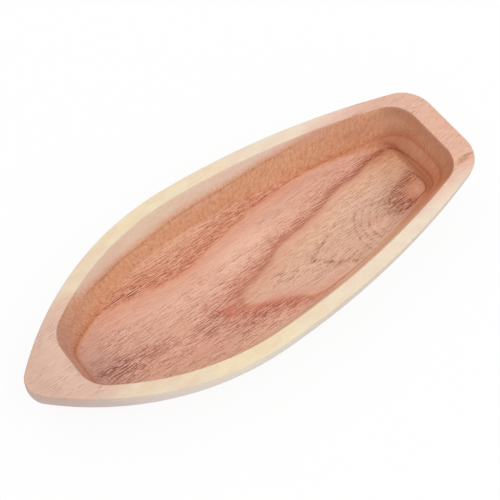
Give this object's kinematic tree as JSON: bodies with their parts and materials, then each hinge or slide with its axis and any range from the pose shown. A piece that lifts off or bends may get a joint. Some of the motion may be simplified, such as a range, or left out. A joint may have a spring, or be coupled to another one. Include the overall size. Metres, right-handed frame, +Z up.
{
  "type": "boat-shaped wooden snack tray",
  "caption": "Boat-shaped snack tray of one piece of wood: pointed rounded bow, flat narrow stern, curved sides, a flat rim and a deep pocket that follows the outline.",
  "frame": {"origin": "middle of the length, on the middle line, on the flat base that it rests on", "axes": "+X towards the bow, +Y to the side, +Z up out of the pocket"},
  "size_m": [0.3, 0.118, 0.034],
  "materials": {
    "wood": "sanded bare wood, matt to satin: cream sapwood along both sides of the rim, pink-brown heartwood with dark growth lines in the pocket"
  },
  "bodies": {
    "root": {"boat": "wood"}
  },
  "joints": []
}
